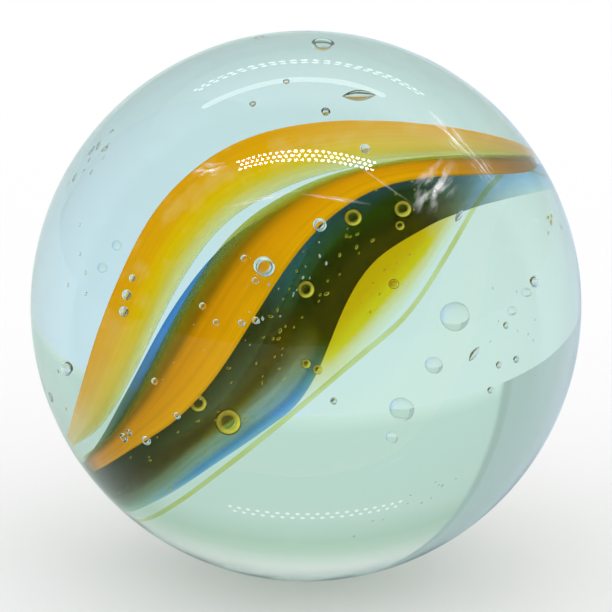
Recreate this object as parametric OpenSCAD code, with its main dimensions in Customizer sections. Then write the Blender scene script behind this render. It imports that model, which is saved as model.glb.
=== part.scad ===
// Glass marble: a clear ball with coloured glass ribbons and a thread running through it, and
// bubbles held in the glass. Millimetres, +Z up, origin at the centre of the ball.
// The core's own frame has x along the ribbons, y across them and z towards the ball's front.

/* [Ball] */
// Diameter of the ball
ball_d = 16; // [13:0.5:25]
// Refractive index of the clear glass, which places the bubbles behind where they are seen
glass_index = 1.52; // [1.45:0.01:1.7]

/* [Core] */
// Clear glass left beyond each end of the ribbons
end_cover = 0.7; // [0.5:0.05:2]
// Rise of the ribbons' length above the horizontal, in degrees
core_rise = 35.5; // [0:0.5:90]
// Lean of the ball's front back from upright, in degrees
core_lean = 16; // [0:1:45]
// Thickness of a ribbon in the middle of its width
ribbon_t = 0.26; // [0.16:0.02:0.34]
// Thickness of a ribbon along its edges
ribbon_edge_t = 0.1; // [0.06:0.02:0.14]

/* [Outer amber ribbon] */
// Outer edge: place across at the left end and at the right end
outer_amber_top_ends = [0.85, -0.15]; // [-3:0.05:3]
// Outer edge: height of its swell, place of the peak, length of the rise and of the fall
outer_amber_top_swell = [2.85, 0.25, 7.4, 7.75]; // [0:0.1:10]
// Outer edge: depth towards the front at the ends and in the middle
outer_amber_top_depth = [0.3, -1]; // [-2.5:0.05:2.5]
// Inner edge: place across at the left end and at the right end
outer_amber_low_ends = [0.55, -0.4]; // [-3:0.05:3]
// Inner edge: height of its swell, place of the peak, length of the rise and of the fall
outer_amber_low_swell = [2.2, 0.25, 5.95, 7.25]; // [0:0.1:10]
// Inner edge: depth towards the front at the ends and in the middle
outer_amber_low_depth = [0.3, 0.2]; // [-2.5:0.05:2.5]

/* [Inner amber ribbon] */
// Upper edge: place across at the left end and at the right end
inner_amber_top_ends = [0.2, -0.25]; // [-3:0.05:3]
// Upper edge: height of its swell, place of the peak, length of the rise and of the fall
inner_amber_top_swell = [2.15, 0.5, 6.6, 7.45]; // [0:0.1:10]
// Upper edge: depth towards the front at the ends and in the middle
inner_amber_top_depth = [1.1, 1]; // [-2.5:0.05:2.5]
// Lower edge: place across at the left end and at the right end
inner_amber_low_ends = [-0.3, -0.55]; // [-3:0.05:3]
// Lower edge: height of its swell, place of the peak, length of the rise and of the fall
inner_amber_low_swell = [1.75, 2.05, 6.2, 4.85]; // [0:0.1:10]
// Lower edge: depth towards the front at the ends and in the middle
inner_amber_low_depth = [1.1, 2]; // [-2.5:0.05:2.5]

/* [Blue ribbon] */
// Upper edge: place across at the left end and at the right end
blue_top_ends = [0.1, -0.65]; // [-3:0.05:3]
// Upper edge: height of its swell, place of the peak, length of the rise and of the fall
blue_top_swell = [2.15, 0.05, 6.5, 7.6]; // [-1:0.1:10]
// Upper edge: depth towards the front at the ends and in the middle
blue_top_depth = [-0.3, 0]; // [-2.5:0.05:2.5]
// Lower edge: place across at the left end and at the right end
blue_low_ends = [-1.5, -1.3]; // [-3:0.05:3]
// Lower edge: height of its swell, place of the peak, length of the rise and of the fall
blue_low_swell = [1.35, 1.75, 3.35, 6]; // [0:0.1:10]
// Lower edge: depth towards the front at the ends and in the middle
blue_low_depth = [-0.3, -0.6]; // [-2.5:0.05:2.5]

/* [Yellow ribbon] */
// How far the ribbon stops short of the other ribbons' right end
yellow_stop = 3.1; // [0:0.1:5]
// Upper edge: place across at the left end and at the right end
yellow_top_ends = [-0.7, -0.35]; // [-3:0.05:3]
// Upper edge: height of its swell, place of the peak, length of the rise and of the fall
yellow_top_swell = [1.45, 1.7, 4.2, 5]; // [0:0.1:10]
// Upper edge: depth towards the front at the ends and in the middle
yellow_top_depth = [-1, -1.5]; // [-2.5:0.05:2.5]
// Lower edge: place across at the left end and at the right end
yellow_low_ends = [-1.15, 0.8]; // [-3:0.05:3]
// Lower edge: height of its swell (below 0 it sags), place of the peak, length of the rise and of the fall
yellow_low_swell = [-1.35, 0.6, 8.55, 7.4]; // [-2:0.05:10]
// Lower edge: depth towards the front at the ends and in the middle
yellow_low_depth = [-1, -1.9]; // [-2.5:0.05:2.5]

/* [Yellow thread] */
// Diameter of the thread
thread_d = 0.12; // [0.1:0.02:0.24]
// Place across at the left end and at the right end
thread_ends = [-2.05, -0.85]; // [-3:0.05:3]
// Height of its swell, place of the peak, length of the rise and of the fall
thread_swell = [0.9, 5.05, 4.05, 2.25]; // [0:0.1:10]
// Depth towards the front at the ends and in the middle
thread_depth = [0.5, 0.5]; // [-2.5:0.05:2.5]

/* [Bubbles] */
// Diameter of the large bubbles
large_bubble_d = 0.48; // [0.3:0.02:0.6]
// Diameter of the medium bubbles
medium_bubble_d = 0.32; // [0.24:0.02:0.4]
// Diameter of the small bubbles
small_bubble_d = 0.24; // [0.16:0.02:0.3]
// Diameter of the fine bubbles
fine_bubble_d = 0.17; // [0.1:0.01:0.2]
// Thickness of a drawn-out bubble of size 1
long_bubble_d = 0.2; // [0.12:0.02:0.3]
// Length of a drawn-out bubble of size 1
long_bubble_l = 0.5; // [0.4:0.02:0.6]

/* [Hidden] */
ball_r = ball_d / 2;
core_half = ball_r - end_cover;
full_run = [-core_half, core_half];
yellow_run = [-core_half, core_half - yellow_stop];
// Facets along a ribbon, across it, round the thread, round the ball and a bubble, and along an almond
stations = 40;
strips = 6;
thread_sides = 8;
ball_fn = 128;
bubble_fn = 24;
almond_steps = 8;

// Bubbles: place across and up as seen on the ball's face, and depth towards the front, each as a share
// of the ball's radius. A drawn-out one adds the turn of its length in degrees and its size.
large_bubbles = [[-0.15, 0.14, 0.29], [-0.28, -0.42, 0.01], [0.55, -0.04, -0.3], [0.06, 0.944, -0.1]];
medium_bubbles = [[0.05, 0.29, 0.31], [0.17, 0.32, 0.02], [0.35, 0.35, 0.01], [0, 0.06, 0.01],
    [-0.39, -0.35, 0.01], [0.36, -0.39, -0.5], [-0.862, -0.224, -0.1]];
small_bubbles = [[0.48, -0.22, -0.5], [-0.57, -0.48, 0.24], [-0.65, -0.47, 0.23], [-0.64, 0.04, 0.25],
    [-0.65, -0.02, 0.25], [0.07, 0.69, 0.4], [0.21, 0.56, 0.3], [0.824, 0.09, -0.1], [-0.17, 0.97, -0.1],
    [-0.92, -0.33, -0.1]];
fine_bubbles = [[-0.62, 0.1, 0.25], [-0.32, -0.06, 0.25], [-0.22, 0.17, 0.23], [-0.18, 0.09, 0.265],
    [-0.23, -0.06, 0.29], [-0.18, -0.05, 0.3], [-0.37, 0, 0.22], [-0.63, -0.45, 0.29],
    [-0.54, -0.27, 0.21], [-0.46, -0.39, 0.26], [0, -0.21, 0.01], [0.04, -0.23, 0.01],
    [0.34, 0.29, 0.01], [0.32, 0.08, -0.11], [-0.07, 0.8, 0.3], [-0.19, 0.72, 0.3],
    [-0.69, 0.22, -0.2], [-0.74, 0.14, -0.2], [0.8, 0.05, -0.2], [0.75, -0.02, -0.2],
    [0.715, -0.07, 0.2], [0.75, -0.19, 0.2], [0.69, -0.21, 0.2], [0.66, -0.3, 0.2],
    [0.1, -0.34, 0.3], [0.32, -0.49, -0.4]];
long_bubbles = [[0.19, 0.75, 0.3, 8, 1.7], [0.545, 0.32, 0.3, 55, 0.7], [0.6, -0.17, 0.3, 52, 0.85]];

amber = [0.86, 0.62, 0.05];
deep_amber = [0.8, 0.52, 0.03];
blue = [0.25, 0.5, 0.75];
yellow = [0.8, 0.74, 0.05];
yellow_green = [0.7, 0.82, 0.43];
aqua_clear = [0.8, 0.92, 0.88, 0.35];

function mix(a, b, share) = a + (b - a) * share;
function bell(t) = abs(t) < 1 ? (1 + cos(180 * t)) / 2 : 0;
function swell_height(x, swell) =
    swell[0] * bell((x - swell[1]) / (x < swell[1] ? swell[2] : swell[3]));

// A point of a ribbon's edge at a share of its run
function edge_point(ends, swell, depth, run, share) =
    let (x = mix(run[0], run[1], share))
    [x, mix(ends[0], ends[1], share) + swell_height(x, swell),
        mix(depth[0], depth[1], bell(2 * share - 1))];

// The closed section of a ribbon between two edge points: its front side, then its back side
function ribbon_ring(top, low) =
    let (side = low - top)
    let (normal = [0, side[2], -side[1]] / norm(side))
    let (reach = [for (j = [0:strips]) mix(ribbon_edge_t, ribbon_t, sin(180 * j / strips)) / 2])
    [for (j = [0:strips]) mix(top, low, j / strips) + normal * reach[j],
        for (j = [strips:-1:0]) mix(top, low, j / strips) - normal * reach[j]];

function thread_ring(centre) =
    [for (k = [0:thread_sides - 1])
        let (turn = 360 * k / thread_sides)
        centre + thread_d / 2 * [0, cos(turn), -sin(turn)]];

// Where a bubble lies that is seen at a place on the ball's face, by the law of refraction
function bubble_centre(place) =
    let (seen = norm([place[0], place[1]]))
    let (bend = asin(seen) - asin(seen / glass_index))
    let (true_share = seen - (sqrt(1 - seen * seen) - place[2]) * tan(bend))
    let (drawn_in = seen > 0 ? true_share / seen : 1)
    ball_r * [place[0] * drawn_in, place[1] * drawn_in, place[2]];

// A closed skin over a row of rings with the same number of points
module skin(rings) {
    size = len(rings[0]);
    last = len(rings) - 1;
    polyhedron(
        points = [for (ring = rings) for (point = ring) point],
        faces = [
            [for (k = [0:size - 1]) k],
            for (i = [0:last - 1]) for (k = [0:size - 1])
                let (next = (k + 1) % size)
                [i * size + k, (i + 1) * size + k, (i + 1) * size + next, i * size + next],
            [for (k = [size - 1:-1:0]) last * size + k]
        ]
    );
}

module ribbon(top_ends, top_swell, top_depth, low_ends, low_swell, low_depth, run) {
    in_core() skin([for (i = [0:stations]) ribbon_ring(
        edge_point(top_ends, top_swell, top_depth, run, i / stations),
        edge_point(low_ends, low_swell, low_depth, run, i / stations)
    )]);
}

// Turns the ball's face, with x across, y up and z towards the front, into place
module on_face() {
    rotate([90 - core_lean, 0, 0]) children();
}

module in_core() {
    on_face() rotate([0, 0, core_rise]) children();
}

module outer_amber_form() {
    ribbon(outer_amber_top_ends, outer_amber_top_swell, outer_amber_top_depth,
        outer_amber_low_ends, outer_amber_low_swell, outer_amber_low_depth, full_run);
}

module inner_amber_form() {
    ribbon(inner_amber_top_ends, inner_amber_top_swell, inner_amber_top_depth,
        inner_amber_low_ends, inner_amber_low_swell, inner_amber_low_depth, full_run);
}

module blue_form() {
    ribbon(blue_top_ends, blue_top_swell, blue_top_depth,
        blue_low_ends, blue_low_swell, blue_low_depth, full_run);
}

module yellow_form() {
    ribbon(yellow_top_ends, yellow_top_swell, yellow_top_depth,
        yellow_low_ends, yellow_low_swell, yellow_low_depth, yellow_run);
}

module thread_form() {
    in_core() skin([for (i = [0:stations])
        thread_ring(edge_point(thread_ends, thread_swell, thread_depth, full_run, i / stations))]);
}

module round_bubbles(places, d) {
    for (place = places) {
        translate(bubble_centre(place)) sphere(d = d, $fn = bubble_fn);
    }
}

// Bubbles drawn out into almonds, with their length in the ball's face
module drawn_bubbles(places) {
    for (place = places) {
        translate(bubble_centre(place)) rotate([0, 90, place[3]])
            almond(long_bubble_l * place[4], long_bubble_d * place[4]);
    }
}

module almond(l, d) {
    rotate_extrude($fn = bubble_fn)
        polygon([for (i = [0:almond_steps])
            let (share = 2 * i / almond_steps - 1)
            [d / 2 * (1 - share * share), l / 2 * share]]);
}

module bubbles() {
    on_face() {
        round_bubbles(large_bubbles, large_bubble_d);
        round_bubbles(medium_bubbles, medium_bubble_d);
        round_bubbles(small_bubbles, small_bubble_d);
        round_bubbles(fine_bubbles, fine_bubble_d);
        drawn_bubbles(long_bubbles);
    }
}

module clear_glass() {
    color(aqua_clear) difference() {
        sphere(d = ball_d, $fn = ball_fn);
        outer_amber_form();
        inner_amber_form();
        blue_form();
        yellow_form();
        thread_form();
        bubbles();
    }
}

module outer_amber_ribbon() {
    color(amber) outer_amber_form();
}

module inner_amber_ribbon() {
    color(deep_amber) inner_amber_form();
}

module blue_ribbon() {
    color(blue) blue_form();
}

module yellow_ribbon() {
    color(yellow) yellow_form();
}

module yellow_thread() {
    color(yellow_green) thread_form();
}

clear_glass();
outer_amber_ribbon();
inner_amber_ribbon();
blue_ribbon();
yellow_ribbon();
yellow_thread();
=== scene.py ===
"""Looks of the glass marble: a clear ball with bubbles, coloured ribbons and a thread, floor and light."""
import math

import bmesh
import bpy
import numpy as np
from mathutils import Matrix, Vector


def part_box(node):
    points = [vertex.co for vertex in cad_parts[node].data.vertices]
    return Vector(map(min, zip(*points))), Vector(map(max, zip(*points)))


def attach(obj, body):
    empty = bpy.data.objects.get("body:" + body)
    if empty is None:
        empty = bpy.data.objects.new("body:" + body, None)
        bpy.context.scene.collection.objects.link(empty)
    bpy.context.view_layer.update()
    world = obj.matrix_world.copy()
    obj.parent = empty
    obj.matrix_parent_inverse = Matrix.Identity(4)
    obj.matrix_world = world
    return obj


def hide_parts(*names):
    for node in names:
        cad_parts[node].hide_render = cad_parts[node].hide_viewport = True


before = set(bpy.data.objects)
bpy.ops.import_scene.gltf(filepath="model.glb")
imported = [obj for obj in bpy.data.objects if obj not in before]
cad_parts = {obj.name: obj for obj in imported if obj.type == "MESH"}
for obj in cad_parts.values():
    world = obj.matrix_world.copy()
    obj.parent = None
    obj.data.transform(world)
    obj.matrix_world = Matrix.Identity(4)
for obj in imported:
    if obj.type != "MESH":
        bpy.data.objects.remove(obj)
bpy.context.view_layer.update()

# Sizes that the CAD part also has
MM = 0.001
ball_low, ball_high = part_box("clear_glass")
BALL_R = (ball_high.z - ball_low.z) / 2
SKIN_R = min(ball_high.x, ball_high.y)
CORE_MARGIN = 0.7 * MM
CORE_HALF = BALL_R - CORE_MARGIN
CORE_RISE = math.radians(35.5)
CORE_LEAN = math.radians(16)
GLASS_INDEX = 1.52
RIBBON_T = 0.26 * MM
RIBBON_EDGE_T = 0.1 * MM
THREAD_D = 0.12 * MM

# The face frame: x across, y up, z towards the viewer
FACE = Matrix.Rotation(math.pi / 2 - CORE_LEAN, 3, "X")
# The core frame: the same, turned so that x runs along the ribbons
CORE = FACE @ Matrix.Rotation(CORE_RISE, 3, "Z")

# An edge, in mm: place across at both ends, swell (height, peak, rise, fall), depth at ends and middle
RIBBONS = {
    "outer_amber_ribbon": {
        "top": ((0.85, -0.15), (2.85, 0.25, 7.4, 7.75), (0.3, -1)),
        "low": ((0.55, -0.4), (2.2, 0.25, 5.95, 7.25), (0.3, 0.2)),
        "stop": 0,
    },
    "inner_amber_ribbon": {
        "top": ((0.2, -0.25), (2.15, 0.5, 6.6, 7.45), (1.1, 1)),
        "low": ((-0.3, -0.55), (1.75, 2.05, 6.2, 4.85), (1.1, 2)),
        "stop": 0,
    },
    "blue_ribbon": {
        "top": ((0.1, -0.65), (2.15, 0.05, 6.5, 7.6), (-0.3, 0)),
        "low": ((-1.5, -1.3), (1.35, 1.75, 3.35, 6), (-0.3, -0.6)),
        "stop": 0,
    },
    "yellow_ribbon": {
        "top": ((-0.7, -0.35), (1.45, 1.7, 4.2, 5), (-1, -1.5)),
        "low": ((-1.15, 0.8), (-1.35, 0.6, 8.55, 7.4), (-1, -1.9)),
        "stop": 3.1,
    },
}
THREAD = ((-2.05, -0.85), (0.9, 5.05, 4.05, 2.25), (0.5, 0.5))

# Bubbles: place across and up on the ball's face and depth towards the viewer, as shares of its radius
ROUND_BUBBLES = (
    (0.48 * MM, ((-0.15, 0.14, 0.29), (-0.28, -0.42, 0.01), (0.55, -0.04, -0.3), (0.06, 0.944, -0.1))),
    (0.32 * MM, ((0.05, 0.29, 0.31), (0.17, 0.32, 0.02), (0.35, 0.35, 0.01), (0, 0.06, 0.01),
                 (-0.39, -0.35, 0.01), (0.36, -0.39, -0.5), (-0.862, -0.224, -0.1))),
    (0.24 * MM, ((0.48, -0.22, -0.5), (-0.57, -0.48, 0.24), (-0.65, -0.47, 0.23), (-0.64, 0.04, 0.25),
                 (-0.65, -0.02, 0.25), (0.07, 0.69, 0.4), (0.21, 0.56, 0.3), (0.824, 0.09, -0.1),
                 (-0.17, 0.97, -0.1), (-0.92, -0.33, -0.1))),
    (0.17 * MM, ((-0.62, 0.1, 0.25), (-0.32, -0.06, 0.25), (-0.22, 0.17, 0.23), (-0.18, 0.09, 0.265),
                 (-0.23, -0.06, 0.29), (-0.18, -0.05, 0.3), (-0.37, 0, 0.22), (-0.63, -0.45, 0.29),
                 (-0.54, -0.27, 0.21), (-0.46, -0.39, 0.26), (0, -0.21, 0.01), (0.04, -0.23, 0.01),
                 (0.34, 0.29, 0.01), (0.32, 0.08, -0.11), (-0.07, 0.8, 0.3), (-0.19, 0.72, 0.3),
                 (-0.69, 0.22, -0.2), (-0.74, 0.14, -0.2), (0.8, 0.05, -0.2), (0.75, -0.02, -0.2),
                 (0.715, -0.07, 0.2), (0.75, -0.19, 0.2), (0.69, -0.21, 0.2), (0.66, -0.3, 0.2),
                 (0.1, -0.34, 0.3), (0.32, -0.49, -0.4))),
)
# A drawn-out bubble adds the turn of its length in degrees and its size
LONG_BUBBLE_D = 0.2 * MM
LONG_BUBBLE_L = 0.5 * MM
LONG_BUBBLES = ((0.19, 0.75, 0.3, 8, 1.7), (0.545, 0.32, 0.3, 55, 0.7), (0.6, -0.17, 0.3, 52, 0.85))
# Bubbles this far back show as pale soft balls, with a painted blue reflection on one side
PALE_BEHIND = -0.15
PALE_INDEX = 1.2
PALE_ROUGHNESS = 0.08
PALE_PAINTED_REFLECTION_BLUE = (0.45, 0.72, 0.95)
PALE_PAINTED_REFLECTION_SIDE = (-1, 0.1, 0)
# Bubbles in the dark band, this near its middle line and this deep, wear a film with painted yellow light,
# bent into them from the ribbons, and a painted lit side
FILM_REACH = 1.6 * MM
FILM_DEPTHS = (-0.13, 0.15)
FILM_SIZE = 1.08
FILM_PAINTED_LIGHT_SIDE = (0.6, -0.8, 0)
FILM_GRAIN = 2500

# Seeds, too small for the CAD: from, to, spread, depth, turn in degrees, count, least and most mm long
SEEDS = (
    ((0.35, 0.38), (0.02, 0.12), 0.06, 0.02, 60, 16, 0.05, 0.11),
    ((0.02, 0.12), (-0.12, -0.2), 0.08, 0.02, 62, 22, 0.05, 0.13),
    ((-0.12, -0.2), (-0.6, -0.6), 0.07, 0.02, 36, 22, 0.05, 0.11),
    ((-0.15, 0.2), (-0.5, -0.25), 0.08, 0.29, 50, 8, 0.04, 0.08),
    ((0.05, 0.21), (-0.19, -0.12), 0.03, 0.34, 75, 16, 0.05, 0.12),
    ((0.4, 0.2), (0.15, -0.05), 0.05, -0.12, 50, 8, 0.05, 0.1),
    ((0.52, -0.62), (0.15, -0.84), 0.015, 0.1, 20, 12, 0.05, 0.1),
    ((-0.72, 0.62), (-0.86, 0.45), 0.03, -0.05, 50, 20, 0.1, 0.26),
    ((-0.62, -0.72), (-0.76, -0.6), 0.02, -0.05, 40, 9, 0.1, 0.2),
    ((0.7, 0.1), (0.8, -0.25), 0.05, 0, 80, 10, 0.05, 0.1),
    ((0.86, 0.34), (0.88, 0.28), 0.02, -0.05, 60, 5, 0.1, 0.2),
    ((-0.83, 0.27), (-0.78, 0.05), 0.05, -0.05, 70, 5, 0.1, 0.2),
    ((-0.85, -0.28), (-0.8, -0.5), 0.04, -0.05, 110, 6, 0.08, 0.16),
)
SEED_SLENDER = 0.55
SEED_TURN_SPREAD = 15
SEED_DEPTH_SPREAD = 0.02
SEED_REACH = 0.97
SEED_DRAW = 11

# Slow waves in the ball's skin, all inwards: direction, waves over the radius, start
WAVE_DEPTH = 0.006 * MM
WAVES = (
    ((0.3, 0.2, 1), 2.6, 0.4),
    ((1, -0.4, 0.3), 3.3, 1.9),
    ((-0.5, 1, 0.6), 4.1, 3.1),
    ((0.8, 0.7, -0.5), 5.6, 5),
)

# Fineness of the meshes
SKIN_SUBDIVISIONS = 7
BUBBLE_SUBDIVISIONS = 4
SEED_SUBDIVISIONS = 3
STATIONS = 160
STRIPS = 24
THREAD_SIDES = 16


def bell(t):
    """A smooth hump, 1 at 0 and 0 from 1 outwards."""
    return np.where(np.abs(t) < 1, (1 + np.cos(np.pi * t)) / 2, 0)


def edge_line(edge, run, shares):
    """Points of an edge, in the core frame in metres."""
    ends, (height, peak, rise, fall), depth = edge
    x = (run[0] + (run[1] - run[0]) * shares) / MM
    y = ends[0] + (ends[1] - ends[0]) * shares + height * bell((x - peak) / np.where(x < peak, rise, fall))
    z = depth[0] + (depth[1] - depth[0]) * bell(2 * shares - 1)
    return np.stack([x, y, z], 1) * MM


def to_row(points, turn):
    """Points of the face or core frame, in the row frame."""
    return points @ np.array(turn).T


def seen_to_true(across, up, depth):
    """Where a point lies that is seen at a place on the ball's face, by the law of refraction."""
    seen = math.hypot(across, up)
    bend = math.asin(seen) - math.asin(seen / GLASS_INDEX)
    true_share = seen - (math.sqrt(1 - seen * seen) - depth) * math.tan(bend)
    drawn_in = true_share / seen if seen > 0 else 1
    return np.array([across * drawn_in, up * drawn_in, depth]) * BALL_R


def new_piece(name, vertices, faces, material, node, slot):
    """A smooth mesh object that rides on the marble and, where one is named, stands for a CAD node."""
    mesh = bpy.data.meshes.new(name)
    mesh.from_pydata([tuple(v) for v in vertices], [], faces)
    mesh.polygons.foreach_set("use_smooth", [True] * len(mesh.polygons))
    mesh.materials.append(material)
    mesh.update()
    piece = bpy.data.objects.new(name, mesh)
    bpy.context.scene.collection.objects.link(piece)
    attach(piece, "root")
    if node:
        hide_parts(node)
    return piece


def skin_faces(rings, size):
    """Quads over a row of closed rings, and a cap at each end."""
    faces = [tuple(range(size))]
    for i in range(rings - 1):
        for k in range(size):
            near = (k + 1) % size
            faces.append((i * size + k, (i + 1) * size + k, (i + 1) * size + near, i * size + near))
    faces.append(tuple((rings - 1) * size + k for k in reversed(range(size))))
    return faces


# Material helpers
WHITE = (1, 1, 1)
# A Mix node's colour sockets come after those for numbers and vectors
MIX_FIRST, MIX_SECOND, MIX_RESULT = 6, 7, 2


def new_material(name):
    """An empty node tree and its output."""
    material = bpy.data.materials.new(name)
    material.use_nodes = True
    material.node_tree.nodes.clear()
    output = material.node_tree.nodes.new("ShaderNodeOutputMaterial")
    return material, material.node_tree, output


def add(tree, kind, **settings):
    """A node with its settings."""
    node = tree.nodes.new("ShaderNode" + kind)
    for key, value in settings.items():
        setattr(node, key, value)
    return node


def feed(tree, socket, value):
    """Link or set an input."""
    if isinstance(value, bpy.types.NodeSocket):
        tree.links.new(value, socket)
    elif isinstance(value, tuple) and socket.type == "RGBA":
        socket.default_value = (*value, 1)
    else:
        socket.default_value = value


def math_node(tree, operation, *values):
    """A Math node fed with sockets or numbers."""
    node = add(tree, "Math", operation=operation)
    for socket, value in zip(node.inputs, values):
        feed(tree, socket, value)
    return node.outputs[0]


def times(tree, first, second):
    """The product of two values."""
    return math_node(tree, "MULTIPLY", first, second)


def remainder(tree, value):
    """1 less a value."""
    return math_node(tree, "SUBTRACT", 1.0, value)


def either(tree, first, second):
    """The sum of two values, at most 1."""
    return math_node(tree, "MINIMUM", math_node(tree, "ADD", first, second), 1.0)


def parts(tree, vector):
    """The x, y and z of a vector."""
    node = add(tree, "SeparateXYZ")
    tree.links.new(vector, node.inputs[0])
    return node.outputs


def step(tree, value, low, high):
    """0 below low, 1 above high, smooth between; the other way round where low is above high."""
    node = add(tree, "MapRange", interpolation_type="SMOOTHSTEP")
    feed(tree, node.inputs["Value"], value)
    node.inputs["From Min"].default_value = min(low, high)
    node.inputs["From Max"].default_value = max(low, high)
    node.inputs["To Min"].default_value = float(low > high)
    node.inputs["To Max"].default_value = float(low < high)
    return node.outputs["Result"]


def mixed(tree, factor, first, second):
    """A colour between two colours."""
    node = add(tree, "Mix", data_type="RGBA")
    for place, value in ((0, factor), (MIX_FIRST, first), (MIX_SECOND, second)):
        feed(tree, node.inputs[place], value)
    return node.outputs[MIX_RESULT]


def ramp(tree, value, stops):
    """A colour ramp over (place, colour) stops, where a single number is a grey."""
    node = add(tree, "ValToRGB")
    feed(tree, node.inputs["Fac"], value)
    elements = node.color_ramp.elements
    while len(elements) < len(stops):
        elements.new(0.5)
    for element, (place, colour) in zip(elements, stops):
        element.position = place
        element.color = (*colour, 1) if isinstance(colour, tuple) else (colour, colour, colour, 1)
    return node.outputs["Color"]


def noise(tree, vector, scale, stretch, detail=3):
    """A stretched noise, about 0 to 1."""
    mapping = add(tree, "Mapping")
    mapping.inputs["Scale"].default_value = stretch
    feed(tree, mapping.inputs["Vector"], vector)
    node = add(tree, "TexNoise")
    node.inputs["Scale"].default_value = scale
    node.inputs["Detail"].default_value = detail
    feed(tree, node.inputs["Vector"], mapping.outputs[0])
    return node.outputs["Fac"]


def even_noise(tree, scale):
    """Noise through the object, alike in all directions."""
    return noise(tree, add(tree, "TexCoord").outputs["Object"], scale, (1, 1, 1))


def turned_to(tree, side):
    """How far a surface is turned to a side of the face, from -1 to 1."""
    node = add(tree, "VectorMath", operation="DOT_PRODUCT")
    tree.links.new(add(tree, "TexCoord").outputs["Normal"], node.inputs[0])
    node.inputs[1].default_value = FACE @ Vector(side)
    return node.outputs["Value"]


def bending_glass(tree, output, colour, index, roughness, passing):
    """Glass that bends the light; passing is the share that it lets through."""
    glass = add(tree, "BsdfPrincipled")
    feed(tree, glass.inputs["Base Color"], colour)
    feed(tree, glass.inputs["IOR"], index)
    feed(tree, glass.inputs["Roughness"], roughness)
    feed(tree, glass.inputs["Transmission Weight"], passing)
    tree.links.new(glass.outputs[0], output.inputs["Surface"])


def coloured_glass(tree, output, filter_colour, body_colour, cover):
    """A filter for the light that passes, shared by the two sides, and a body that scatters part of it."""
    half = add(tree, "Gamma")
    half.inputs["Gamma"].default_value = 0.5
    feed(tree, half.inputs["Color"], filter_colour)
    clear = add(tree, "BsdfTransparent")
    feed(tree, clear.inputs["Color"], half.outputs[0])
    body = add(tree, "BsdfDiffuse")
    feed(tree, body.inputs["Color"], body_colour)
    both = add(tree, "MixShader")
    feed(tree, both.inputs["Fac"], cover)
    tree.links.new(clear.outputs[0], both.inputs[1])
    tree.links.new(body.outputs[0], both.inputs[2])
    tree.links.new(both.outputs[0], output.inputs["Surface"])


# Clear glass
ABSORPTION_COLOUR = (0.07, 0.82, 0.56)
ABSORPTION_DENSITY = 15
# Scuffs: how rough and white they are, where the front begins, their soft edge and their strokes
SCUFF_ROUGHNESS = 0.35
SCUFF_WHITE = 0.6
SCUFF_FRONT = (0.1, 0.2)
SCUFF_EDGE = (1, 0.2)
STROKE_SCALE = 2.5
STROKE_LENGTHWISE = 0.6
STROKE_DETAIL = 6
STROKE_STEP = (0.42, 0.68)
# A scuff reaches so deep that only its place on the face counts
SCUFF_DEPTH = 1000
# A scuff: centre on the face, half length, half width, turn in degrees, strength, strokes across
SCUFFS = (
    ((0.45, 0.42), 0.13, 0.085, 60, 1, 1),
    ((0.52, 0.6), 0.16, 0.04, -45, 1, 1.4),
    ((-0.34, 0.48), 0.07, 0.035, 15, 1, 1.2),
    ((0.62, 0.5), 0.12, 0.04, -50, 0.7, 2.2),
    ((0.27, 0.43), 0.16, 0.006, -35, 0.6, 0.9),
    ((-0.15, 0.375), 0.16, 0.012, 14, 1, 1.3),
    ((0.1, 0.375), 0.14, 0.01, -8, 1, 1.2),
    ((-0.55, -0.1), 0.1, 0.004, 70, 0.5, 0.8),
    ((0.3, -0.55), 0.12, 0.004, 30, 0.4, 0.8),
)


def scuff_mask(tree):
    """Where the ball's front is scuffed: short patches of fine strokes."""
    place = add(tree, "TexCoord")
    face = add(tree, "Mapping")
    face.inputs["Rotation"].default_value = (CORE_LEAN - math.pi / 2, 0, 0)
    face.inputs["Scale"].default_value = (1 / BALL_R,) * 3
    tree.links.new(place.outputs["Object"], face.inputs["Vector"])
    front = step(tree, parts(tree, face.outputs[0])[2], *SCUFF_FRONT)
    mask = None
    for (across, up), half_length, half_width, turn, strength, strokes_across in SCUFFS:
        local = add(tree, "Mapping", vector_type="TEXTURE")
        local.inputs["Location"].default_value = (across, up, 0)
        local.inputs["Rotation"].default_value = (0, 0, math.radians(turn))
        local.inputs["Scale"].default_value = (half_length, half_width, SCUFF_DEPTH)
        tree.links.new(face.outputs[0], local.inputs["Vector"])
        reach = add(tree, "VectorMath", operation="LENGTH")
        tree.links.new(local.outputs[0], reach.inputs[0])
        stretch = (STROKE_LENGTHWISE, strokes_across, 1)
        grain = noise(tree, local.outputs[0], STROKE_SCALE, stretch, STROKE_DETAIL)
        patch = times(tree, step(tree, reach.outputs["Value"], *SCUFF_EDGE), step(tree, grain, *STROKE_STEP))
        patch = times(tree, patch, strength)
        mask = patch if mask is None else math_node(tree, "MAXIMUM", mask, patch)
    return times(tree, mask, front)


def clear_glass_material():
    """Pale aqua glass with scuffs on its skin."""
    material, tree, output = new_material("clear_aqua_glass")
    scuff = scuff_mask(tree)
    roughness = times(tree, scuff, SCUFF_ROUGHNESS)
    passing = remainder(tree, times(tree, scuff, SCUFF_WHITE))
    bending_glass(tree, output, WHITE, GLASS_INDEX, roughness, passing)
    absorb = add(tree, "VolumeAbsorption")
    feed(tree, absorb.inputs["Color"], ABSORPTION_COLOUR)
    absorb.inputs["Density"].default_value = ABSORPTION_DENSITY
    tree.links.new(absorb.outputs[0], output.inputs["Volume"])
    return material


def fine_ball(subdivisions):
    """Points and triangles of a ball of radius 1."""
    sphere = bmesh.new()
    bmesh.ops.create_icosphere(sphere, subdivisions=subdivisions, radius=1)
    points = np.array([v.co for v in sphere.verts])
    faces = np.array([[v.index for v in f.verts] for f in sphere.faces])
    sphere.free()
    return points, faces


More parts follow.
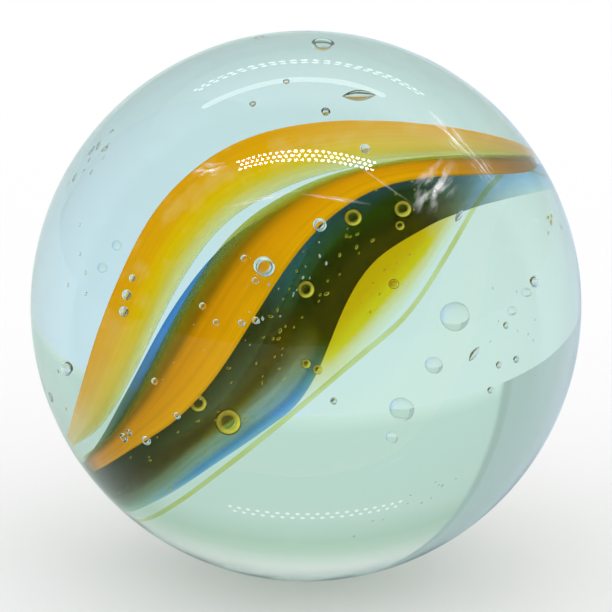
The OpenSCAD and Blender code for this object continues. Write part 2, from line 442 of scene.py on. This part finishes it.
def skin_points(unit):
    """The ball's skin with its slow waves."""
    swing = np.zeros(len(unit))
    for direction, count, start in WAVES:
        along = unit @ (np.array(direction) / np.linalg.norm(direction))
        swing += np.sin(2 * np.pi * count * along + start) / len(WAVES)
    return unit * (SKIN_R - WAVE_DEPTH * (1 - swing[:, None]) / 2)


def almond(unit, length, thickness, turn):
    """A ball drawn out to a point at both ends, its length turned in the face."""
    slim = np.sqrt(np.clip(1 - unit[:, :1] ** 2, 0, 1))
    shape = np.concatenate([unit[:, :1] * length / 2, unit[:, 1:] * slim * thickness / 2], 1)
    return shape @ np.array(Matrix.Rotation(math.radians(turn), 3, "Z")).T


def bubble_shells():
    """Each bubble's points in the face frame, its triangles and whether it is a pale one."""
    unit, faces = fine_ball(BUBBLE_SUBDIVISIONS)
    for diameter, places in ROUND_BUBBLES:
        for place in places:
            yield unit * diameter / 2 + seen_to_true(*place), faces, place[2] < PALE_BEHIND
    for across, up, depth, turn, size in LONG_BUBBLES:
        shape = almond(unit, LONG_BUBBLE_L * size, LONG_BUBBLE_D * size, turn)
        yield shape + seen_to_true(across, up, depth), faces, False
    unit, faces = fine_ball(SEED_SUBDIVISIONS)
    chance = np.random.default_rng(SEED_DRAW)
    for start, stop, spread, depth, turn, count, least, most in SEEDS:
        for _ in range(count):
            share = chance.random()
            across, up = (a + (b - a) * share + spread * chance.normal() for a, b in zip(start, stop))
            length = (least + (most - least) * chance.random() ** 2) * MM
            if math.hypot(across, up) < SEED_REACH:
                seed_turn = turn + SEED_TURN_SPREAD * chance.normal()
                seed_depth = depth + SEED_DEPTH_SPREAD * chance.random()
                shape = almond(unit, length, length * SEED_SLENDER, seed_turn)
                yield shape + seen_to_true(across, up, seed_depth), faces, False


def joined(shells):
    """Points and triangles of several shells as one mesh."""
    points, triangles, count = [], [], 0
    for shell, faces in shells:
        points.append(shell)
        triangles.append(faces + count)
        count += len(shell)
    return np.concatenate(points), np.concatenate(triangles).tolist()


def build_clear_glass():
    """The ball and, turned inside out in the same mesh, all its bubbles but the pale ones."""
    unit, skin = fine_ball(SKIN_SUBDIVISIONS)
    shells = [(skin_points(unit), skin)]
    shells += [(to_row(shell, FACE), faces[:, ::-1]) for shell, faces, pale in bubble_shells() if not pale]
    new_piece("clear_glass_ball", *joined(shells), clear_glass_material(), "clear_glass", "clear_glass")


def build_pale_bubbles():
    """The bubbles at the back, which bend the light less, with a painted blue reflection on their left side.
    """
    shells = [(to_row(shell, FACE), faces) for shell, faces, pale in bubble_shells() if pale]
    material, tree, output = new_material("pale_bubble")
    # Painted reflection: a blue tinge on the side that is turned to the left
    blue = ramp(tree, turned_to(tree, PALE_PAINTED_REFLECTION_SIDE), ((0.55, 0), (0.9, 0.9)))
    colour = mixed(tree, blue, WHITE, PALE_PAINTED_REFLECTION_BLUE)
    bending_glass(tree, output, colour, PALE_INDEX, PALE_ROUGHNESS, passing=1)
    new_piece("pale_bubbles", *joined(shells), material, None, "clear_glass")


def build_painted_light_films():
    """A film round each bubble that lies in the dark band, with painted yellow light from the ribbons, a
    painted lit side and a painted dark rim.
    """
    films = []
    for shell, faces, _ in bubble_shells():
        middle = shell.mean(0)
        off_line = middle[1] * math.cos(CORE_RISE) - middle[0] * math.sin(CORE_RISE)
        if abs(off_line) < FILM_REACH and FILM_DEPTHS[0] < middle[2] / BALL_R < FILM_DEPTHS[1]:
            films.append((to_row(middle + (shell - middle) * FILM_SIZE, FACE), faces))
    material, tree, output = new_material("painted_yellow_light_film")
    grain = even_noise(tree, FILM_GRAIN)
    colour = ramp(tree, grain, ((0.35, (0.9, 0.6, 0.04)), (0.65, (0.98, 0.85, 0.15))))
    # Painted light: the film covers more on the side turned to the light
    side = ramp(tree, turned_to(tree, FILM_PAINTED_LIGHT_SIDE), ((0, 0.5), (0.6, 1)))
    # Painted shade: a ring of cover and a body that darkens to brown at the rim, as a bubble's dark outline
    edge = add(tree, "LayerWeight")
    ring = ramp(tree, edge.outputs["Facing"], ((0.1, 0), (0.3, 0.9), (0.55, 0.9), (0.8, 0.8)))
    body = ramp(tree, edge.outputs["Facing"], ((0.5, (1, 0.86, 0.1)), (0.68, (0.12, 0.08, 0.01))))
    coloured_glass(tree, output, colour, body, times(tree, ring, side))
    new_piece("painted_light_bubble_films", *joined(films), material, None, "yellow_glass")


# Ribbons and thread: stretch of the noise along and across a ribbon, and scales of the even noise
DRIFT_STRETCH = (3, 5, 1)
STREAK_STRETCH = (2.5, 11, 1)
MOTTLE_SCALE = 1500
THREAD_GRAIN = 900


def ribbon_mesh(shape):
    """Points and faces of a ribbon, and the share along and across it at each point."""
    run = (-CORE_HALF, CORE_HALF - shape["stop"] * MM)
    shares = np.linspace(0, 1, STATIONS + 1)
    top, low = (edge_line(shape[key], run, shares) for key in ("top", "low"))
    side = low - top
    normal = np.stack([np.zeros(len(side)), side[:, 2], -side[:, 1]], 1)
    normal /= np.linalg.norm(side, axis=1)[:, None]
    across = np.linspace(0, 1, STRIPS + 1)
    reach = (RIBBON_EDGE_T + (RIBBON_T - RIBBON_EDGE_T) * np.sin(np.pi * across)) / 2
    middle = top[:, None] + side[:, None] * across[None, :, None]
    front = middle + normal[:, None] * reach[None, :, None]
    back = middle - normal[:, None] * reach[None, :, None]
    rings = np.concatenate([front, back[:, ::-1]], 1)
    size = rings.shape[1]
    along = np.repeat(shares, size)
    across = np.tile(np.concatenate([across, across[::-1]]), len(shares))
    return to_row(rings.reshape(-1, 3), CORE), skin_faces(len(shares), size), along, across


def build_ribbon(name, material, slot):
    """A ribbon, with the shares along and across it kept for its material."""
    points, faces, along, across = ribbon_mesh(RIBBONS[name])
    piece = new_piece(name + "_glass", points, faces, material, name, slot)
    layer = piece.data.uv_layers.new(name="flow")
    corners = np.array([loop.vertex_index for loop in piece.data.loops])
    layer.data.foreach_set("uv", np.stack([along[corners], across[corners]], 1).ravel())


def flow(tree, wander):
    """The share along a ribbon, the share across it with the glass's drift in it, and fine streaks."""
    uv = add(tree, "UVMap", uv_map="flow").outputs[0]
    along, across, _ = parts(tree, uv)
    drift = math_node(tree, "SUBTRACT", noise(tree, uv, 1, DRIFT_STRETCH), 0.5)
    across = math_node(tree, "ADD", across, times(tree, drift, wander))
    return along, across, noise(tree, uv, 1, STREAK_STRETCH)


def soft_ends(tree, along, colour, cover):
    """A ribbon's filter and cover, thinning out at its two ends."""
    end = ramp(tree, along, ((0, 1), (0.06, 0), (0.96, 0), (1, 0.7)))
    return mixed(tree, end, colour, WHITE), times(tree, cover, remainder(tree, end))


def outer_amber_material():
    """Orange at the outer edge, then gold, yellow and nearly clear; paler at both ends."""
    material, tree, output = new_material("amber_glass")
    along, across, streaks = flow(tree, wander=0.2)
    colour = ramp(tree, across, ((0, (0.9, 0.5, 0.01)), (0.65, (0.95, 0.72, 0.01)),
                                 (0.88, (0.97, 0.93, 0.25)), (1, (0.97, 0.98, 0.65))))
    body = ramp(tree, across, ((0, (1, 0.44, 0.006)), (0.4, (1, 0.49, 0.002)),
                               (0.68, (1, 0.67, 0.002)), (0.82, (0.98, 0.82, 0.06)),
                               (0.92, (0.95, 0.93, 0.4)), (1, (0.92, 0.95, 0.6))))
    pale = ramp(tree, along, ((0.08, 0.85), (0.17, 0.45), (0.3, 0), (0.58, 0), (0.72, 0.4), (1, 0.3)))
    pale = times(tree, pale, ramp(tree, across, ((0.1, 0.5), (0.5, 1))))
    body = mixed(tree, pale, body, (1, 0.88, 0.35))
    cover = ramp(tree, across, ((0, 0.93), (0.65, 0.88), (0.85, 0.6), (1, 0.25)))
    mottle = even_noise(tree, MOTTLE_SCALE)
    body = mixed(tree, ramp(tree, mottle, ((0.5, 0), (0.72, 0.3))), body, (1, 0.8, 0.3))
    cover = times(tree, cover, ramp(tree, streaks, ((0.3, 0.92), (0.65, 1))))
    colour, cover = soft_ends(tree, along, colour, cover)
    coloured_glass(tree, output, colour, body, cover)
    return material


def inner_amber_material():
    """Olive on top, a dark streak, then deep amber to the sharp lower edge; brown at the right end."""
    material, tree, output = new_material("deep_amber_glass")
    along, across, streaks = flow(tree, wander=0.2)
    colour = ramp(tree, across, ((0, (0.7, 0.74, 0.22)), (0.15, (0.4, 0.34, 0.01)),
                                 (0.4, (0.55, 0.28, 0.008)), (1, (0.85, 0.45, 0.02))))
    body = ramp(tree, across, ((0.08, (0.5, 0.45, 0.02)), (0.26, (0.42, 0.2, 0.002)),
                               (0.48, (0.88, 0.35, 0.001)), (1, (1, 0.46, 0.001))))
    body = mixed(tree, ramp(tree, streaks, ((0.45, 0), (0.75, 0.5))), body, (0.6, 0.27, 0.001))
    body = mixed(tree, ramp(tree, along, ((0.76, 0), (0.93, 0.8))), body, (0.3, 0.13, 0.02))
    cover = ramp(tree, across, ((0, 0.08), (0.15, 0.4), (0.36, 0.88), (1, 0.95)))
    colour, cover = soft_ends(tree, along, colour, cover)
    coloured_glass(tree, output, colour, body, cover)
    return material


def blue_material():
    """Bright blue edges, dark teal between; the right half has no bright lower edge and ends pale."""
    material, tree, output = new_material("blue_glass")
    along, across, streaks = flow(tree, wander=0.08)
    far = ramp(tree, across, ((0, (0.3, 0.34, 0.14)), (0.12, (0.09, 0.1, 0.04)),
                              (0.35, (0.05, 0.045, 0.015)), (0.6, (0.09, 0.08, 0.03)),
                              (0.8, (0.27, 0.3, 0.17)), (0.93, (0.5, 0.65, 0.55)),
                              (1, (0.75, 0.88, 0.8))))
    left = ramp(tree, across, ((0, (0.14, 0.24, 0.26)), (0.14, (0.05, 0.09, 0.07)),
                               (0.3, (0.035, 0.045, 0.008)), (0.55, (0.07, 0.066, 0.01)),
                               (0.74, (0.16, 0.165, 0.06)), (0.85, (0.38, 0.47, 0.34)),
                               (0.91, (0.36, 0.52, 0.5)), (0.955, (0.12, 0.36, 0.72)),
                               (1, (0.35, 0.64, 0.92))))
    left = mixed(tree, ramp(tree, along, ((0.12, 1), (0.26, 0))), left, far)
    strip = times(tree, ramp(tree, along, ((0.24, 0), (0.33, 1))),
                  ramp(tree, across, ((0.06, 1), (0.13, 0))))
    left = mixed(tree, strip, left, (0.1, 0.31, 0.68))
    right = ramp(tree, across, ((0, (0.3, 0.55, 0.85)), (0.06, (0.12, 0.32, 0.7)),
                                (0.16, (0.05, 0.13, 0.22)), (0.35, (0.04, 0.11, 0.13)),
                                (0.55, (0.055, 0.15, 0.1)), (0.7, (0.045, 0.075, 0.03)),
                                (0.85, (0.1, 0.13, 0.12)), (1, (0.09, 0.11, 0.12))))
    pale = ramp(tree, across, ((0, (0.2, 0.36, 0.58)), (0.6, (0.48, 0.71, 1)), (1, (0.75, 0.92, 1))))
    colour = mixed(tree, ramp(tree, along, ((0.45, 0), (0.5, 1))), left, right)
    colour = mixed(tree, ramp(tree, streaks, ((0.4, 0), (0.7, 0.35))), colour, (0.02, 0.025, 0.006))
    colour = mixed(tree, ramp(tree, along, ((0.7, 0), (0.86, 1))), colour, pale)
    cover = ramp(tree, streaks, ((0.4, 0.01), (0.7, 0.04)))
    colour, cover = soft_ends(tree, along, colour, cover)
    coloured_glass(tree, output, colour, (0.06, 0.08, 0.04), cover)
    return material


def yellow_material():
    """Deep yellow, paler along the lower edge, at both ends and behind the blue's bright edge."""
    material, tree, output = new_material("yellow_glass")
    along, across, streaks = flow(tree, wander=0.25)
    colour = ramp(tree, across, ((0, (0.9, 0.85, 0.6)), (0.2, (0.88, 0.52, 0.01)),
                                 (0.6, (0.93, 0.53, 0.002)), (0.82, (0.97, 0.76, 0.02)),
                                 (1, (0.98, 0.98, 0.8))))
    colour = mixed(tree, ramp(tree, streaks, ((0.45, 0), (0.75, 0.25))), colour, (1, 0.85, 0.03))
    colour = mixed(tree, ramp(tree, along, ((0.1, 0.6), (0.4, 0), (0.85, 0), (1, 1))), colour, WHITE)
    behind_blue = times(tree, ramp(tree, along, ((0.53, 1), (0.62, 0))),
                        ramp(tree, across, ((0.3, 0), (0.6, 1))))
    colour = mixed(tree, behind_blue, colour, WHITE)
    cover = ramp(tree, across, ((0, 0.02), (0.5, 0.12), (0.8, 0.08), (1, 0)))
    coloured_glass(tree, output, colour, (0.8, 0.62, 0.003), cover)
    return material


def build_thread():
    """The fine thread, a round rod whose colour fades to its sides."""
    shares = np.linspace(0, 1, STATIONS + 1)
    line = edge_line(THREAD, (-CORE_HALF, CORE_HALF), shares)
    turns = np.linspace(0, 2 * np.pi, THREAD_SIDES, endpoint=False)
    ring = np.stack([np.zeros(THREAD_SIDES), np.cos(turns), -np.sin(turns)], 1) * THREAD_D / 2
    points = to_row((line[:, None] + ring[None]).reshape(-1, 3), CORE)
    faces = skin_faces(len(shares), THREAD_SIDES)
    material, tree, output = new_material("thread_glass")
    grain = even_noise(tree, THREAD_GRAIN)
    colour = ramp(tree, grain, ((0.35, (0.78, 0.77, 0.3)), (0.65, (0.9, 0.9, 0.5))))
    edge = add(tree, "LayerWeight")
    colour = mixed(tree, ramp(tree, edge.outputs["Facing"], ((0.3, 0), (0.85, 1))), colour, WHITE)
    coloured_glass(tree, output, colour, body_colour=(0.6, 0.7, 0.2), cover=0.02)
    new_piece("yellow_thread_glass", points, faces, material, "yellow_thread", "thread_glass")


# Floor: white, and painted shade in the glass: a tint on each side of a seam, and a painted dark front that
# ends again for light through a bubble
FLOOR_SIDE = 2.4
DOME_LEVEL = 1.35
FLOOR_WHITE = 1 / DOME_LEVEL
FLOOR_LEFT_PAINTED_SHADE = (0.575, 0.665, 0.65)
FLOOR_RIGHT_PAINTED_SHADE = (0.555, 0.65, 0.745)
FLOOR_FRONT_PAINTED_SHADE = (0.18, 0.2, 0.19)
FLOOR_SEAM = (-0.01, 0.01)
FRONT_SLOPE = 0.4
FRONT_START = (-0.002, -0.01)
FRONT_END = (-0.06, -0.03)

# Tent: colours by height, then a left wall and the seam beside it, by azimuth in degrees
TENT = (
    (0, (0.75, 0.88, 0.83)), (0.045, (0.63, 0.77, 0.73)), (0.38, (0.63, 0.76, 0.7)),
    (0.52, (0.53, 0.68, 0.57)), (0.6, (0.62, 0.75, 0.64)), (0.74, (1, 1, 0.95)), (1, WHITE),
)
WALL_START = (-35.5, -37.5)
WALL_END = (-160, -100)
WALL_FADE = (-50, -75)
WALL_NEAR = (0.52, 0.62, 0.61)
WALL_FAR = (0.64, 0.7, 0.71)
SEAM_START = (-34, -36)
SEAM_END = (-38.5, -37)
SEAM_COLOUR = (0.45, 0.56, 0.53)
# Dark front of the tent, by how far a direction points back; it ends again for light through a bubble
DARK_START = (0.42, 0.2)
DARK_END = (-0.5, -0.3)
DARK = (0.04, 0.04, 0.04)

# Light that passes into or out of glass more often than this has gone through a bubble
BUBBLE_PASSES = 2.5
# Light that has scattered at all has a diffuse depth above this
SCATTERED = 0.5

# A row of small lamps: from and to, count, a lamp's width and strength, whether it shows through glass too
LAMP_CORNERS = 8
LAMP_ROWS = (
    ((-0.11, -0.034, 0.25), (0.11, -0.034, 0.25), 24, 0.006, 24, False),
    ((-0.105, -0.043, 0.25), (0.105, -0.043, 0.25), 23, 0.006, 24, False),
    ((-0.11, -0.052, 0.25), (0.11, -0.052, 0.25), 24, 0.006, 24, False),
    ((-0.14, 0.25, 0.215), (0.15, 0.25, 0.215), 24, 0.009, 3.5, False),
    ((-0.14, 0.25, 0.23), (0.15, 0.25, 0.23), 24, 0.009, 3.5, False),
    ((-0.14, 0.165, 0.25), (0.1, 0.165, 0.25), 90, 0.02, 3, False),
    ((-0.074, 0.25, 0.088), (0.058, 0.25, 0.088), 19, 0.0035, 1, True),
    ((-0.071, 0.25, 0.094), (0.055, 0.25, 0.094), 18, 0.0035, 1, True),
)


def stage_piece(name, vertices, faces, material):
    """A mesh object of the stage, which is no part of the marble."""
    mesh = bpy.data.meshes.new(name)
    mesh.from_pydata(vertices, [], faces)
    mesh.materials.append(material)
    piece = bpy.data.objects.new(name, mesh)
    bpy.context.scene.collection.objects.link(piece)
    return piece


def bent_light(tree, path, beside):
    """1 for light that came by a reflection, or through a bubble from where beside is 1."""
    bubble = math_node(tree, "GREATER_THAN", path.outputs["Transmission Depth"], BUBBLE_PASSES)
    return either(tree, times(tree, bubble, beside), path.outputs["Glossy Depth"])


def build_floor():
    """White to the camera and to scattered light; painted shade, tinted, in the glass, with a painted dark
    front for bent light.
    """
    half = FLOOR_SIDE / 2
    corners = [(x * half, y * half, -BALL_R) for x, y in ((-1, -1), (1, -1), (1, 1), (-1, 1))]
    material, tree, output = new_material("floor_white")
    x, y, _ = parts(tree, add(tree, "TexCoord").outputs["Object"])
    # Painted shade: tints darker than the floor's white, which show only in the glass
    floor_painted_shade = mixed(tree, step(tree, x, *FLOOR_SEAM), FLOOR_LEFT_PAINTED_SHADE, FLOOR_RIGHT_PAINTED_SHADE)
    sides = times(tree, math_node(tree, "ABSOLUTE", x), FRONT_SLOPE)
    beyond = math_node(tree, "SUBTRACT", y, sides)
    path = add(tree, "LightPath")
    beside = step(tree, beyond, *FRONT_END)
    # Painted shade: the floor's dark front, seen in reflections and through bubbles
    dark = times(tree, step(tree, beyond, *FRONT_START), bent_light(tree, path, beside))
    floor_painted_shade = mixed(tree, dark, floor_painted_shade, FLOOR_FRONT_PAINTED_SHADE)
    plain = either(tree, path.outputs["Is Camera Ray"], path.outputs["Diffuse Depth"])
    paint = add(tree, "BsdfDiffuse")
    feed(tree, paint.inputs["Color"], mixed(tree, plain, floor_painted_shade, (FLOOR_WHITE,) * 3))
    tree.links.new(paint.outputs[0], output.inputs["Surface"])
    stage_piece("floor", corners, [(0, 1, 2, 3)], material)


def lamp_material(strength):
    """Light that shows on the glass and in it, and lights nothing that scatters."""
    material, tree, output = new_material("small_lamp")
    material.cycles.emission_sampling = "NONE"
    path = add(tree, "LightPath")
    direct = math_node(tree, "LESS_THAN", path.outputs["Diffuse Depth"], SCATTERED)
    glow = add(tree, "Emission")
    feed(tree, glow.inputs["Strength"], times(tree, direct, float(strength)))
    tree.links.new(glow.outputs[0], output.inputs["Surface"])
    return material


def build_lamps():
    """Rows of small lamps that show as reflections on the glass, and some of them through it too."""
    turns = [2 * math.pi * k / LAMP_CORNERS for k in range(LAMP_CORNERS)]
    corners = [Vector((math.cos(turn), math.sin(turn), 0)) / 2 for turn in turns]
    for start, stop, count, width, strength, through in LAMP_ROWS:
        vertices, faces = [], []
        for share in np.linspace(0, 1, count):
            centre = Vector(start).lerp(Vector(stop), share)
            aim = centre.to_track_quat("Z", "Y")
            faces.append(tuple(range(len(vertices), len(vertices) + len(corners))))
            vertices.extend(tuple(centre + aim @ corner * width) for corner in corners)
        row = stage_piece("small_lamps", vertices, faces, lamp_material(strength))
        row.visible_camera = False
        row.visible_diffuse = False
        row.visible_shadow = False
        row.visible_transmission = through


def build_world():
    """A tent: white to the camera, even on what scatters, with soft zones and a dark front in the glass."""
    world = bpy.data.worlds.new("tent")
    bpy.context.scene.world = world
    world.use_nodes = True
    world.cycles.sampling_method = "NONE"
    tree = world.node_tree
    tree.nodes.clear()
    output = tree.nodes.new("ShaderNodeOutputWorld")
    x, y, z = parts(tree, add(tree, "TexCoord").outputs["Generated"])
    azimuth = math_node(tree, "ARCTAN2", x, y)

    def round_step(degrees):
        """A step over the azimuth."""
        low, high = map(math.radians, degrees)
        return step(tree, azimuth, low, high)

    tent = ramp(tree, z, TENT)
    seam = times(tree, round_step(SEAM_START), round_step(SEAM_END))
    left = times(tree, round_step(WALL_START), round_step(WALL_END))
    wall = mixed(tree, round_step(WALL_FADE), WALL_NEAR, WALL_FAR)
    tent = mixed(tree, left, tent, wall)
    tent = mixed(tree, seam, tent, SEAM_COLOUR)
    path = add(tree, "LightPath")
    beside = step(tree, y, *DARK_END)
    dark = times(tree, step(tree, y, *DARK_START), bent_light(tree, path, beside))
    tent = mixed(tree, dark, tent, DARK)
    scattered = math_node(tree, "GREATER_THAN", path.outputs["Diffuse Depth"], SCATTERED)
    seen = mixed(tree, scattered, tent, (DOME_LEVEL,) * 3)
    seen = mixed(tree, path.outputs["Is Camera Ray"], seen, WHITE)
    light = add(tree, "Background")
    feed(tree, light.inputs["Color"], seen)
    tree.links.new(light.outputs[0], output.inputs["Surface"])


# Camera: far enough for a flat view, with the ball as large in the frame as in the photograph
CAMERA_FAR = 25 * BALL_R
BALL_SHARE_OF_FRAME = 275.8 / 306


def build_camera():
    """The photograph's view, straight on to the face."""
    data = bpy.data.cameras.new("camera")
    half_frame = BALL_R / math.sqrt(CAMERA_FAR ** 2 - BALL_R ** 2) / BALL_SHARE_OF_FRAME
    data.lens = data.sensor_width / 2 / half_frame
    camera = bpy.data.objects.new("camera", data)
    bpy.context.scene.collection.objects.link(camera)
    back = FACE @ Vector((0, 0, 1))
    camera.location = back * CAMERA_FAR
    camera.rotation_euler = (-back).to_track_quat("-Z", "Y").to_euler()
    bpy.context.scene.camera = camera


build_clear_glass()
build_pale_bubbles()
build_painted_light_films()
build_ribbon("outer_amber_ribbon", outer_amber_material(), "amber_glass")
build_ribbon("inner_amber_ribbon", inner_amber_material(), "deep_amber_glass")
build_ribbon("blue_ribbon", blue_material(), "blue_glass")
build_ribbon("yellow_ribbon", yellow_material(), "yellow_glass")
build_thread()
build_floor()
build_lamps()
build_world()
build_camera()

# View and bounces, enough of them for light that goes through bubbles and ribbons on its way
scene = bpy.context.scene
scene.view_settings.view_transform = "Standard"
scene.cycles.max_bounces = 24
scene.cycles.transmission_bounces = 24
scene.cycles.glossy_bounces = 8
scene.cycles.transparent_max_bounces = 64
